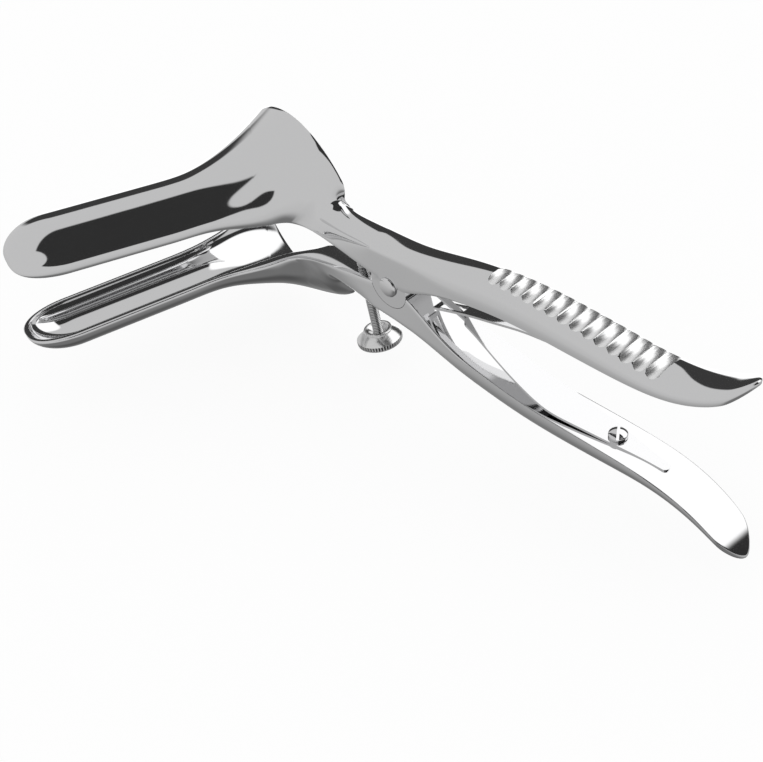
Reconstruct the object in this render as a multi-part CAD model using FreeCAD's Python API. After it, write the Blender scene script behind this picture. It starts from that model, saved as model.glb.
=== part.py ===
import FreeCAD, Part
import math
import os

from FreeCAD import Matrix, Rotation, Vector

# Bivalve speculum with spring handles: two mirrored halves, each one a trough shaped blade with a
# flared funnel, a neck and a D-section handle, joined by a lap joint and a pivot screw. Two leaf
# springs between the handles close the blades, and a thumb screw through the lower half holds them
# open. Millimetres. Each half is drawn as the upper one, with the blades shut and the rim plane at
# z = 0, the pivot axis along Y and the handle towards +X. The parts are written in the opened pose.

# Pose and joint
REST_OPENING = 19.0          # angle between the halves as written, degrees
JOINT_HALF_WIDTH = 5.4       # half the width of neck and joint
EAR_RADIUS = 7.3             # round ear of each half-lap
EAR_CLEARANCE = 0.15         # round the ear, in the recess of the other half
LAP_CLEARANCE = 0.05         # each ear stays this far from the middle plane
RIM_CLEARANCE = 0.15         # each blade rim stays this far from the rim plane
NECK_CLEARANCE = 0.35        # the same for the inner face of each neck

# Blade: a half-elliptic trough whose axis leaves the pivot axis at a small angle
BLADE_LENGTH = 87.2          # along the blade axis, from the middle plane to the tip
BLADE_OFFSET = 57.5          # from the pivot axis to the blade axis, in the middle plane
BLADE_ANGLE = 19.3           # from the pivot axis to the blade axis, degrees
TROUGH_HALF_WIDTH = 12.6
TROUGH_DEPTH = 8.3
TIP_ROUND_LENGTH = 16.0
WALL = 1.6
FLARE_START = 30.5           # the sides start to flare at this distance from the middle plane
FLARE_SPREAD = 10.5          # widening of each side at FLARE_REACH from the start
FLARE_SPREAD_POWER = 1.72
CROWN_FLARE_START = 25.1     # the same for the crown of the trough
CROWN_FLARE_RISE = 11.75
CROWN_FLARE_POWER = 1.5
FLARE_REACH = 30.0
REAR_FACE_Y = 8.84           # the rear face of the funnel where it crosses x = REAR_FACE_X
REAR_FACE_X = -55.0
REAR_FACE_SLOPE = -0.187

# Arm: neck, joint and handle as stations along X
# x, inner face z, half width, height of the flat side, height of the crown above it
ARM_STATIONS = [
    (-36.0, 0.35, 5.2, 1.6, 6.4),
    (-27.0, 0.35, 5.4, 3.2, 6.4),
    (-18.0, 0.35, 5.4, 6.0, 4.8),
    (-9.0, 0.35, 5.4, 8.6, 3.5),
    (0.0, 0.35, 5.4, 10.2, 4.4),
    (7.0, 2.6, 5.5, 9.4, 6.2),
    (15.0, 8.3, 6.1, 5.6, 7.8),
    (24.0, 13.9, 6.8, 2.4, 8.7),
    (36.0, 18.8, 7.0, 1.2, 9.2),
    (50.0, 22.9, 7.2, 1.0, 8.9),
    (65.0, 25.9, 7.4, 1.0, 8.3),
    (80.0, 28.6, 7.5, 1.0, 7.2),
    (92.0, 31.1, 7.45, 0.9, 6.1),
    (104.0, 35.2, 7.25, 0.8, 4.9),
    (112.0, 39.9, 6.9, 0.7, 3.9),
    (118.0, 45.1, 5.9, 0.6, 3.0),
    (122.0, 49.9, 4.1, 0.5, 2.2),
    (124.4, 53.3, 1.8, 0.4, 1.2),
]
CROWN_SHAPE = 2.3            # exponent of the crown: 2 is an ellipse, more is flatter on top
CROWN_POINTS = 8             # spans along half of a crown or trough section

# Finger grooves across the upper handle
GROOVE_COUNT = 14
GROOVE_FIRST_X = 37.0
GROOVE_PITCH = 4.42
GROOVE_RADIUS = 2.7
GROOVE_DEPTH = 1.45
GROOVE_SHALLOW_DEPTH = 0.95  # of the first groove; the depth grows over GROOVE_RUN_IN grooves
GROOVE_RUN_IN = 4

# Pivot screw
PIVOT_RADIUS = 2.0
PIVOT_RUNNING_CLEARANCE = 0.05
PIVOT_HEAD_RADIUS = 3.3
PIVOT_HEAD_RIM = 0.4
PIVOT_HEAD_DOME = 0.6
PIVOT_HEAD_GAP = 0.05

# Leaf springs: top face of the upper leaf as points x, z, from the tip to the tail
LEAF_POINTS = [(15.4, 0.6), (23.0, 4.5), (37.0, 12.4), (48.0, 18.7), (58.0, 23.2), (70.0, 26.2)]
LEAF_GAP = 0.16              # between the leaf and the handle at the screw
LEAF_SEAT_X = 81.0           # the screw holds the leaf against the handle here
LEAF_TAIL_X = 98.5
LEAF_THICKNESS = 0.8
LEAF_TIP_HALF_WIDTH = 2.1
LEAF_BELLY_X = 60.0
LEAF_BELLY_HALF_WIDTH = 5.7
LEAF_SEAT_HALF_WIDTH = 3.5
LEAF_TAIL_HALF_WIDTH = 1.3
LEAF_HOLE_CLEARANCE = 0.15
WINDOW_START_X = 16.8
WINDOW_END_X = 26.5
WINDOW_HALF_WIDTH = 1.3
TONGUE_HALF_WIDTH = 1.0
TONGUE_END_X = 27.0

# Spring screws
SPRING_SCREW_RADIUS = 1.25
SPRING_SCREW_LENGTH = 5.0
SPRING_SCREW_HEAD_RADIUS = 2.85
SPRING_SCREW_HEAD_RIM = 0.8
SPRING_SCREW_HEAD_DOME = 1.0
SPRING_SCREW_SLOT_WIDTH = 0.8
SPRING_SCREW_SLOT_DEPTH = 0.9

# Thumb screw, along Z through the lower neck
THUMB_SCREW_X = -17.2
ROD_RADIUS = 1.6
ROD_RUNNING_CLEARANCE = 0.06
ROD_TIP_Z = 6.0              # height of the round tip over the lower rim plane, as written
KNOB_CENTRE_Z = -27.4
KNOB_RADIUS = 6.7
KNOB_RIM = 1.9
KNOB_TEETH = 44
KNOB_TOOTH_DEPTH = 0.35
KNOB_SHOULDER_RADIUS = 4.6
KNOB_BOSS_RADIUS = 4.15
KNOB_BOSS_TOP = 6.5          # above the middle of the knurled rim
KNOB_BOSS_WAIST = 3.4
KNOB_BOSS_BASE = 3.0
KNOB_COUNTERSINK_RADIUS = 2.9
KNOB_COUNTERSINK_DEPTH = 1.2
KNOB_BOTTOM_DISH = 0.4

FAR = 200.0                  # larger than the instrument, for trimming


def blade_point(along, across, height):
    """A point of the blade from its own coordinates: along the axis, across towards the handle, up."""
    angle = math.radians(BLADE_ANGLE)
    return Vector(
        -BLADE_OFFSET - along * math.sin(angle) + across * math.cos(angle),
        -along * math.cos(angle) - across * math.sin(angle),
        height,
    )


def flare(along, start, rise, power):
    """Growth of the trough at a place along the axis: none before the start of the flare."""
    reach = max(0.0, start - along) / FLARE_REACH
    return rise * reach ** power


def trough_size(along):
    half_width = TROUGH_HALF_WIDTH + flare(along, FLARE_START, FLARE_SPREAD, FLARE_SPREAD_POWER)
    depth = TROUGH_DEPTH + flare(along, CROWN_FLARE_START, CROWN_FLARE_RISE, CROWN_FLARE_POWER)
    return half_width, depth


def arch(place, half_width, height, shape):
    """A half ellipse, or a flatter arch, as a smooth curve over its chord."""
    points = []
    for step in range(2 * CROWN_POINTS + 1):
        angle = math.pi * step / (2 * CROWN_POINTS)
        across = math.copysign(abs(math.cos(angle)) ** (2 / shape), math.cos(angle)) * half_width
        points.append(place(across, abs(math.sin(angle)) ** (2 / shape) * height))
    up = place(0, 1) - place(0, 0)
    curve = Part.BSplineCurve()
    parameters = [step / (2 * CROWN_POINTS) for step in range(2 * CROWN_POINTS + 1)]
    curve.interpolate(Points=points, Parameters=parameters)
    return curve.toShape(), points[0], points[-1]


def trough_section(along, half_width, depth):
    curve, first, last = arch(lambda across, up: blade_point(along, across, up), half_width, depth, 2)
    return Part.Wire([curve, Part.makeLine(last, first)])


def trough_solid(wall):
    """The space inside the trough's outer surface, or inside a wall of the given thickness."""
    sections = []
    straight_end = BLADE_LENGTH - TIP_ROUND_LENGTH
    for along in (-18, -14, -10, -6, -2, 3, 8, 14, 21, FLARE_START, 45, straight_end):
        half_width, depth = trough_size(along)
        sections.append(trough_section(along, half_width - wall, depth - wall))
    half_width, depth = trough_size(straight_end)
    for angle in (20, 40, 57, 71, 82):
        turn = math.radians(angle)
        along = straight_end + (TIP_ROUND_LENGTH - wall) * math.sin(turn)
        scale = math.cos(turn)
        sections.append(trough_section(along, (half_width - wall) * scale, (depth - wall) * scale))
    tip = Part.Vertex(blade_point(BLADE_LENGTH - wall, 0, 0))
    return Part.makeLoft(sections + [tip], True, False)


def rear_trim():
    """Everything behind the rear face of the funnel."""
    left, right = -FAR, FAR

    def on_face(x):
        return Vector(x, REAR_FACE_Y + REAR_FACE_SLOPE * (x - REAR_FACE_X), -FAR)

    corners = [on_face(left), on_face(right), Vector(right, FAR, -FAR), Vector(left, FAR, -FAR)]
    return Part.Face(Part.makePolygon(corners + corners[:1])).extrude(Vector(0, 0, 2 * FAR))


def arm_section(x, inner, half_width, side, crown):
    low = inner + side
    curve, first, last = arch(lambda across, up: Vector(x, across, low + up), half_width, crown, CROWN_SHAPE)
    left = Vector(x, -half_width, inner)
    right = Vector(x, half_width, inner)
    return Part.Wire([curve, Part.makeLine(last, left), Part.makeLine(left, right),
                      Part.makeLine(right, first)])


def arm_solid():
    return Part.makeLoft([arm_section(*station) for station in ARM_STATIONS], True, False)


def station_value(x, column):
    """A value of the arm between its stations, by straight interpolation."""
    for low, high in zip(ARM_STATIONS, ARM_STATIONS[1:]):
        if low[0] <= x <= high[0]:
            part = (x - low[0]) / (high[0] - low[0])
            return low[column] + part * (high[column] - low[column])
    raise ValueError("outside the arm")


def crown_height(x):
    return station_value(x, 1) + station_value(x, 3) + station_value(x, 4)


def cylinder_across(radius, low_y, high_y):
    """A cylinder about the pivot axis."""
    return Part.makeCylinder(radius, high_y - low_y, Vector(0, low_y, 0), Vector(0, 1, 0))


def lap(shape, ear_side):
    """Turn the joint of a half into a half-lap: an ear on one side, a recess on the other."""
    width = JOINT_HALF_WIDTH
    ear = cylinder_across(EAR_RADIUS, LAP_CLEARANCE, width)
    recess = cylinder_across(EAR_RADIUS + EAR_CLEARANCE, -width - 1, LAP_CLEARANCE)
    if ear_side < 0:
        turn = Rotation(Vector(1, 0, 0), 180)
        for piece in (ear, recess):
            piece.Placement = FreeCAD.Placement(Vector(), turn)
    return shape.cut(recess).fuse(ear).removeSplitter()


def half(ear_side):
    """One half, drawn as the upper one with the blades shut."""
    funnel = trough_solid(0.0).cut(rear_trim())
    body = funnel.fuse(arm_solid())
    body = body.cut(trough_solid(WALL))
    below = Part.makeBox(2 * FAR, 2 * FAR, FAR, Vector(-FAR, -FAR, RIM_CLEARANCE - FAR))
    body = body.cut(below)
    return lap(body, ear_side)


def largest_solid(shape):
    return max(shape.Solids, key=lambda solid: solid.Volume)


def finger_grooves():
    grooves = []
    for number in range(GROOVE_COUNT):
        x = GROOVE_FIRST_X + number * GROOVE_PITCH
        grown = min(1.0, number / GROOVE_RUN_IN)
        depth = GROOVE_SHALLOW_DEPTH + grown * (GROOVE_DEPTH - GROOVE_SHALLOW_DEPTH)
        centre = Vector(x, -FAR / 10, crown_height(x) + GROOVE_RADIUS - depth)
        grooves.append(Part.makeCylinder(GROOVE_RADIUS, FAR / 5, centre, Vector(0, 1, 0)))
    return grooves


def leaf_seat_z():
    """Height of the handle's inner face at the screw."""
    return station_value(LEAF_SEAT_X, 1)


def seat_slope():
    return (station_value(LEAF_SEAT_X + 4, 1) - station_value(LEAF_SEAT_X - 4, 1)) / 8


def leaf_spring(tongue):
    """A leaf of the upper handle, with a window at its tip, or with a tongue instead."""
    slope = seat_slope()
    run = LEAF_TAIL_X - LEAF_SEAT_X
    seat = leaf_seat_z() - LEAF_GAP
    tail = [(LEAF_SEAT_X, seat), (LEAF_TAIL_X, seat + slope * run)]
    top = Part.BSplineCurve()
    top.interpolate([Vector(x, 0, z) for x, z in LEAF_POINTS + tail])
    down = Vector(0, 0, -LEAF_THICKNESS)
    edge = top.toShape()
    under = edge.copy()
    under.translate(down)
    ends = [edge.valueAt(edge.FirstParameter), edge.valueAt(edge.LastParameter)]
    side = Part.Face(Part.Wire([edge, Part.makeLine(ends[1], ends[1] + down), under,
                                Part.makeLine(ends[0] + down, ends[0])]))
    side.translate(Vector(0, -LEAF_BELLY_HALF_WIDTH - 1, 0))
    strip = side.extrude(Vector(0, 2 * LEAF_BELLY_HALF_WIDTH + 2, 0))
    tip_x = LEAF_POINTS[0][0]
    plan = [(tip_x - 1, LEAF_TIP_HALF_WIDTH), (WINDOW_END_X + 3, LEAF_TIP_HALF_WIDTH + 0.2),
            (LEAF_BELLY_X - 8, LEAF_BELLY_HALF_WIDTH - 0.5), (LEAF_BELLY_X, LEAF_BELLY_HALF_WIDTH),
            (LEAF_BELLY_X + 8, LEAF_BELLY_HALF_WIDTH - 0.6), (LEAF_SEAT_X, LEAF_SEAT_HALF_WIDTH),
            (LEAF_TAIL_X + 1, LEAF_TAIL_HALF_WIDTH)]
    near = Part.BSplineCurve()
    near.interpolate([Vector(x, -y, -FAR / 4) for x, y in plan])
    far = Part.BSplineCurve()
    far.interpolate([Vector(x, y, -FAR / 4) for x, y in reversed(plan)])
    near_edge, far_edge = near.toShape(), far.toShape()
    outline = Part.Wire([near_edge,
                         Part.makeLine(near_edge.valueAt(near_edge.LastParameter),
                                       far_edge.valueAt(far_edge.FirstParameter)),
                         far_edge,
                         Part.makeLine(far_edge.valueAt(far_edge.LastParameter),
                                       near_edge.valueAt(near_edge.FirstParameter))])
    leaf = strip.common(Part.Face(outline).extrude(Vector(0, 0, FAR / 2)))
    if tongue:
        for side_y in (TONGUE_HALF_WIDTH, -TONGUE_HALF_WIDTH - FAR):
            leaf = leaf.cut(Part.makeBox(TONGUE_END_X + FAR, FAR, FAR, Vector(-FAR, side_y, -FAR / 2)))
    else:
        length = WINDOW_END_X - WINDOW_START_X
        leaf = leaf.cut(Part.makeBox(length, 2 * WINDOW_HALF_WIDTH, FAR,
                                     Vector(WINDOW_START_X, -WINDOW_HALF_WIDTH, -FAR / 2)))
    hole = Part.makeCylinder(SPRING_SCREW_RADIUS + LEAF_HOLE_CLEARANCE, FAR / 10, Vector(0, 0, -FAR / 20))
    return leaf.cut(seat_frame(hole))


def seat_frame(shape):
    """Move a shape drawn at the origin, with +Z into the handle, to the seat of the leaf."""
    shape = shape.copy()
    tilt = -math.degrees(math.atan(seat_slope()))
    shape.Placement = FreeCAD.Placement(
        Vector(LEAF_SEAT_X, 0, leaf_seat_z()), Rotation(Vector(0, 1, 0), tilt)).multiply(shape.Placement)
    return shape


def domed_head(radius, rim, dome):
    """A low round head on the plane z = 0, growing towards -Z."""
    profile = Part.Wire([
        Part.makeLine(Vector(0, 0, 0), Vector(radius, 0, 0)),
        Part.makeLine(Vector(radius, 0, 0), Vector(radius, 0, -rim)),
        Part.Arc(Vector(radius, 0, -rim), Vector(radius * 0.55, 0, -rim - dome * 0.72),
                 Vector(0, 0, -rim - dome)).toShape(),
        Part.makeLine(Vector(0, 0, -rim - dome), Vector(0, 0, 0)),
    ])
    return Part.Face(profile).revolve(Vector(), Vector(0, 0, 1), 360)


def spring_screw():
    head = domed_head(SPRING_SCREW_HEAD_RADIUS, SPRING_SCREW_HEAD_RIM, SPRING_SCREW_HEAD_DOME)
    height = SPRING_SCREW_HEAD_RIM + SPRING_SCREW_HEAD_DOME
    slot = Part.makeBox(SPRING_SCREW_SLOT_WIDTH, 4 * SPRING_SCREW_HEAD_RADIUS, height,
                        Vector(-SPRING_SCREW_SLOT_WIDTH / 2, -2 * SPRING_SCREW_HEAD_RADIUS,
                               SPRING_SCREW_SLOT_DEPTH - 2 * height))
    slot.rotate(Vector(), Vector(0, 0, 1), 35)
    head = head.cut(slot)
    head.translate(Vector(0, 0, -LEAF_THICKNESS - 2 * LEAF_GAP))
    seat = LEAF_THICKNESS + 2 * LEAF_GAP
    shank = Part.makeCylinder(SPRING_SCREW_RADIUS, SPRING_SCREW_LENGTH + seat, Vector(0, 0, -seat))
    return seat_frame(head.fuse(shank))


def spring_screw_hole():
    return seat_frame(Part.makeCylinder(SPRING_SCREW_RADIUS, SPRING_SCREW_LENGTH + 1, Vector(0, 0, -1)))


def pivot_screw():
    """Head on the near side, smooth through the near ear, its end flush with the far side."""
    under = -JOINT_HALF_WIDTH - PIVOT_HEAD_GAP
    rim = under - PIVOT_HEAD_RIM
    top = rim - PIVOT_HEAD_DOME
    dome = Part.Arc(Vector(0, top, 0), Vector(PIVOT_HEAD_RADIUS * 0.55, top + PIVOT_HEAD_DOME * 0.28, 0),
                    Vector(PIVOT_HEAD_RADIUS, rim, 0))
    corners = [(PIVOT_HEAD_RADIUS, rim), (PIVOT_HEAD_RADIUS, under), (PIVOT_RADIUS, under),
               (PIVOT_RADIUS, JOINT_HALF_WIDTH), (0, JOINT_HALF_WIDTH), (0, top)]
    profile = Part.makePolygon([Vector(r, y, 0) for r, y in corners])
    return Part.Face(Part.Wire([dome.toShape()] + profile.Edges)).revolve(Vector(), Vector(0, 1, 0), 360)


def knob():
    """Knurled disc with a cone and a cup shaped boss, drawn round Z at the middle of its rim."""
    corners = []
    for tooth in range(KNOB_TEETH):
        for part, radius in ((0, KNOB_RADIUS), (0.5, KNOB_RADIUS - KNOB_TOOTH_DEPTH)):
            angle = 2 * math.pi * (tooth + part) / KNOB_TEETH
            corners.append(Vector(radius * math.cos(angle), radius * math.sin(angle), -KNOB_RIM / 2))
    disc = Part.Face(Part.makePolygon(corners + corners[:1])).extrude(Vector(0, 0, KNOB_RIM))
    top = KNOB_RIM / 2
    outline = [(0, top - 0.2), (KNOB_RADIUS - KNOB_TOOTH_DEPTH, top - 0.2),
               (KNOB_RADIUS - KNOB_TOOTH_DEPTH - 0.1, top + 0.15), (KNOB_SHOULDER_RADIUS, top + 0.9),
               (KNOB_BOSS_WAIST, top + 1.6), (KNOB_BOSS_WAIST, KNOB_BOSS_BASE),
               (KNOB_BOSS_RADIUS, KNOB_BOSS_TOP - 1.6), (KNOB_BOSS_RADIUS, KNOB_BOSS_TOP - 0.3),
               (KNOB_BOSS_RADIUS - 0.4, KNOB_BOSS_TOP), (KNOB_COUNTERSINK_RADIUS, KNOB_BOSS_TOP),
               (ROD_RADIUS, KNOB_BOSS_TOP - KNOB_COUNTERSINK_DEPTH), (0, KNOB_BOSS_TOP - KNOB_COUNTERSINK_DEPTH)]
    points = [Vector(r, 0, z) for r, z in outline]
    boss = Part.Face(Part.makePolygon(points + points[:1])).revolve(Vector(), Vector(0, 0, 1), 360)
    dish = Part.makeCone(KNOB_SHOULDER_RADIUS, KNOB_BOSS_WAIST, KNOB_BOTTOM_DISH, Vector(0, 0, -KNOB_RIM / 2))
    bore = Part.makeCylinder(ROD_RADIUS, KNOB_BOSS_TOP + KNOB_RIM, Vector(0, 0, -KNOB_RIM))
    return disc.fuse(boss).cut(dish).cut(bore)


def thumb_screw_rod():
    low = KNOB_CENTRE_Z - KNOB_RIM / 2 + KNOB_BOTTOM_DISH
    height = ROD_TIP_Z - ROD_RADIUS - low
    base = Vector(THUMB_SCREW_X, 0, low)
    shaft = Part.makeCylinder(ROD_RADIUS, height, base)
    return shaft.fuse(Part.makeSphere(ROD_RADIUS, base + Vector(0, 0, height)))


def upper_pose(shape):
    shape = shape.copy()
    shape.rotate(Vector(), Vector(0, 1, 0), REST_OPENING / 2)
    return to_origin(shape)


def lower_pose(shape):
    """The same for a shape of the lower half in its own place under the rim plane."""
    shape = shape.copy()
    shape.rotate(Vector(), Vector(0, 1, 0), -REST_OPENING / 2)
    return to_origin(shape)


def to_origin(shape):
    """The origin is on the pivot axis, in the flat far side of the joint."""
    shape.translate(Vector(0, -JOINT_HALF_WIDTH, 0))
    return shape


def mirrored(shape):
    return shape.mirror(Vector(), Vector(0, 0, 1))


def upper_half():
    body = half(-1)
    for groove in finger_grooves():
        body = body.cut(groove)
    bore = cylinder_across(PIVOT_RADIUS + PIVOT_RUNNING_CLEARANCE, -JOINT_HALF_WIDTH - 1, JOINT_HALF_WIDTH)
    return largest_solid(body.cut(bore).cut(spring_screw_hole()))


def lower_half():
    body = half(1)
    hole = Part.makeCylinder(ROD_RADIUS + ROD_RUNNING_CLEARANCE, FAR / 5, Vector(THUMB_SCREW_X, 0, -1))
    bore = cylinder_across(PIVOT_RADIUS, -JOINT_HALF_WIDTH - 1, JOINT_HALF_WIDTH + 1)
    body = body.cut(hole).cut(bore).cut(spring_screw_hole())
    return mirrored(largest_solid(body))


def build():
    screw = spring_screw()
    placed_knob = knob()
    placed_knob.translate(Vector(THUMB_SCREW_X, 0, KNOB_CENTRE_Z))
    return {
        "upper_half": upper_pose(upper_half()),
        "lower_half": lower_pose(lower_half()),
        "pivot_screw": lower_pose(pivot_screw()),
        "upper_leaf_spring": upper_pose(leaf_spring(False)),
        "lower_leaf_spring": lower_pose(mirrored(leaf_spring(True))),
        "upper_spring_screw": upper_pose(screw),
        "lower_spring_screw": lower_pose(mirrored(screw)),
        "thumb_screw_rod": lower_pose(thumb_screw_rod()),
        "thumb_screw_knob": lower_pose(placed_knob),
    }


os.makedirs("parts", exist_ok=True)
for node, shape in build().items():
    box = shape.BoundBox
    print(node, "valid", shape.isValid(), "solids", len(shape.Solids), "volume", round(shape.Volume, 1),
          [round(v, 1) for v in (box.XMin, box.XMax, box.YMin, box.YMax, box.ZMin, box.ZMax)])
    shape.exportStep("parts/" + node + ".step")
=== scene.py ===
import math

import bpy
import numpy as np
from mathutils import Matrix, Vector


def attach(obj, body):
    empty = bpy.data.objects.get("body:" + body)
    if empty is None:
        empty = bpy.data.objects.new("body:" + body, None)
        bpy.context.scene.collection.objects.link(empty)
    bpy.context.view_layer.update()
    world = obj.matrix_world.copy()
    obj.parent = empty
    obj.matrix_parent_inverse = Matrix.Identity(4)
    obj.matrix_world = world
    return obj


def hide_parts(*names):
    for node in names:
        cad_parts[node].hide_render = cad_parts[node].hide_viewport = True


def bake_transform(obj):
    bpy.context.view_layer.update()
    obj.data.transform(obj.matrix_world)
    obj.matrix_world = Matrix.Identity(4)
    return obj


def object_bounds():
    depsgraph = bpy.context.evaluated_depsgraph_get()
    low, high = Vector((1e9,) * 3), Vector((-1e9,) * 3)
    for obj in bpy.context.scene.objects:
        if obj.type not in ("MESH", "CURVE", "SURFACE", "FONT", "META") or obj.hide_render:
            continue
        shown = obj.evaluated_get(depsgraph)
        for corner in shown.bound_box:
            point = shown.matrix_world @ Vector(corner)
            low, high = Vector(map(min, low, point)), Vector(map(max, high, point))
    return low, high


# Looks of a bivalve speculum. Lengths are millimetres, turned into metres when a mesh is written.
# Each half is drawn as the upper one with the blades shut: the pivot axis is along Y through
# (0, 0), the rim plane is z = 0 and the handle runs to +X.

MM = 0.001
REST_OPENING = math.radians(19.0)
PIVOT_Y = -5.4               # the pivot's middle plane in the frame
JOINT_HALF_WIDTH = 5.4
EAR_RADIUS = 7.3
EAR_CLEARANCE = 0.15
LAP_CLEARANCE = 0.05
LAP_CUT_BEYOND = 1.0         # the recess is cut this far past the joint's face
RIM_CLEARANCE = 0.15

BLADE_LENGTH = 87.2
BLADE_OFFSET = 57.5
BLADE_ANGLE = math.radians(19.3)
TROUGH_HALF_WIDTH = 12.6
TROUGH_DEPTH = 8.3
TIP_ROUND_LENGTH = 16.0
TIP_NEAR_POWER = 0.62        # how the half width closes over the round tip, near side
TIP_FAR_POWER = 0.9          # the same on the far side
TIP_DEPTH_POWER = 1.2
WALL = 1.6
FLARE_START = 30.5
FLARE_SPREAD = 10.5
FLARE_SPREAD_POWER = 1.72
CROWN_FLARE_START = 25.1
CROWN_FLARE_RISE = 11.75
CROWN_FLARE_POWER = 1.5
FLARE_REACH = 30.0
REAR_FACE_Y = 8.84
REAR_FACE_X = -55.0
REAR_FACE_SLOPE = -0.187
REAR_SEARCH = (-30.0, 20.0)  # the rear face lies between these places along the blade
REAR_SEARCH_STEPS = 40

# x, inner face z, half width, top of the flat side, top of the crown
ARM_STATIONS = [
    (-36.0, 0.35, 5.3, 2.2, 8.4), (-27.0, 0.35, 5.4, 5.0, 9.4), (-18.0, 0.35, 5.4, 7.3, 10.5),
    (-9.0, 0.35, 5.4, 9.3, 12.1), (0.0, 0.35, 5.4, 11.4, 14.4), (7.0, 2.5, 5.5, 13.0, 16.9),
    (15.0, 8.0, 6.1, 14.6, 20.2), (24.0, 13.5, 6.8, 16.6, 24.0), (36.0, 18.4, 7.0, 19.8, 28.4),
    (50.0, 22.5, 7.2, 23.5, 32.0), (65.0, 25.5, 7.4, 26.5, 34.4), (80.0, 28.2, 7.5, 29.2, 36.0),
    (92.0, 30.7, 7.45, 31.6, 37.3), (104.0, 34.8, 7.25, 35.6, 40.5), (112.0, 39.5, 6.9, 40.2, 45.0),
    (118.0, 44.7, 6.35, 45.3, 49.6), (122.9, 50.2, 5.2, 50.8, 54.0),
]
NECK_START = ARM_STATIONS[0][0]
NECK_INNER = 0.35            # the neck's inner face lies this far above the rim plane
NECK_FLAT_TO = -4.0          # up to here it is flat
NECK_CLEAR_TO = 5.0          # and up to here never lower
CROWN_SHAPE = 2.3
ARM_END = ARM_STATIONS[-1][0]
ARM_END_ROUND = 117.3        # the handle's end is rounded from here to the last station
END_WIDTH_POWER = 1.15
END_CROWN_POWER = 0.8
END_ROLL = 1.4               # the inner face rolls towards the crown at the end
EDGE = 0.3                   # rounding of the long edges


def spline(xs, ys):
    """A natural cubic spline through the points, as a function of x."""
    xs, ys = np.array(xs, float), np.array(ys, float)
    n = len(xs)
    h = np.diff(xs)
    left = np.zeros((n, n))
    right = np.zeros(n)
    left[0, 0] = left[-1, -1] = 1
    for i in range(1, n - 1):
        left[i, i - 1:i + 2] = h[i - 1], 2 * (h[i - 1] + h[i]), h[i]
        right[i] = 3 * ((ys[i + 1] - ys[i]) / h[i] - (ys[i] - ys[i - 1]) / h[i - 1])
    c = np.linalg.solve(left, right)

    def value(x):
        i = int(np.clip(np.searchsorted(xs, x) - 1, 0, n - 2))
        d = x - xs[i]
        b = (ys[i + 1] - ys[i]) / h[i] - h[i] * (2 * c[i] + c[i + 1]) / 3
        return float(ys[i] + d * (b + d * (c[i] + d * (c[i + 1] - c[i]) / (3 * h[i]))))

    return value


ARM = [spline([s[0] for s in ARM_STATIONS], [s[k] for s in ARM_STATIONS]) for k in range(1, 5)]


def arm_values(x):
    """Inner face, half width, flat side and crown of the arm; they shrink over the rounded end."""
    inner, half_width, side_top, top = (curve(x) for curve in ARM)
    if x < NECK_CLEAR_TO:
        inner = max(inner, NECK_INNER) if x > NECK_FLAT_TO else NECK_INNER
    side, crown = side_top - inner, top - side_top
    if x > ARM_END_ROUND:
        closed = min(1.0, (x - ARM_END_ROUND) / (ARM_END - ARM_END_ROUND))
        shrink = math.sqrt(max(0.0, 1 - closed ** 2))
        inner += END_ROLL * closed ** 2
        half_width *= shrink ** END_WIDTH_POWER
        side *= shrink
        crown *= shrink ** END_CROWN_POWER
    return inner, half_width, side, crown


def crown_share(y, half_width):
    """How much of the crown's height is left at y, from 1 in the middle to 0 at the side."""
    return max(0.0, 1 - (abs(y) / half_width) ** CROWN_SHAPE) ** (1 / CROWN_SHAPE)


def crown_height(x, y):
    """Height of the handle's rounded outside before the grooves are cut."""
    inner, half_width, side, crown = arm_values(x)
    return inner + side + crown * crown_share(y, half_width)


def smooth(t):
    """A soft step from 0 to 1 while t goes from 0 to 1."""
    t = min(1.0, max(0.0, t))
    return t * t * (3 - 2 * t)


def mix(a, b, t):
    return a + (b - a) * t


# The trough

NEAR_DIP = 3.4               # the near rim flares later than the far one, before it meets the neck
NEAR_DIP_ALONG = 2.0
NEAR_DIP_REACH = 7.5
NEAR_FULLER = 0.7            # the blade is a little wider on the near side
NEAR_FULLER_FROM = 20.0
NEAR_FULLER_REACH = 20.0
HOLLOW_NEAR = [              # along the blade, half width of the hollow on its near side
    (30.5, 11.0), (24.0, 11.7), (17.0, 12.3), (12.0, 12.7), (7.0, 13.3), (1.5, 14.5), (-4.3, 16.6),
    (-12.6, 20.3), (-18.0, 22.9), (-30.0, 28.0),
]
HOLLOW_BLEND = 6.0           # the hollow takes this length to leave the blade's own width
FLARE_SOFTNESS = 5.0
hollow_near = spline([p[0] for p in HOLLOW_NEAR[::-1]], [p[1] for p in HOLLOW_NEAR[::-1]])


def flare(along, start, rise, power):
    """Growth towards the rear face, with a soft start."""
    ahead = start - along
    return rise * ((ahead + math.hypot(ahead, FLARE_SOFTNESS)) / 2 / FLARE_REACH) ** power


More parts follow.
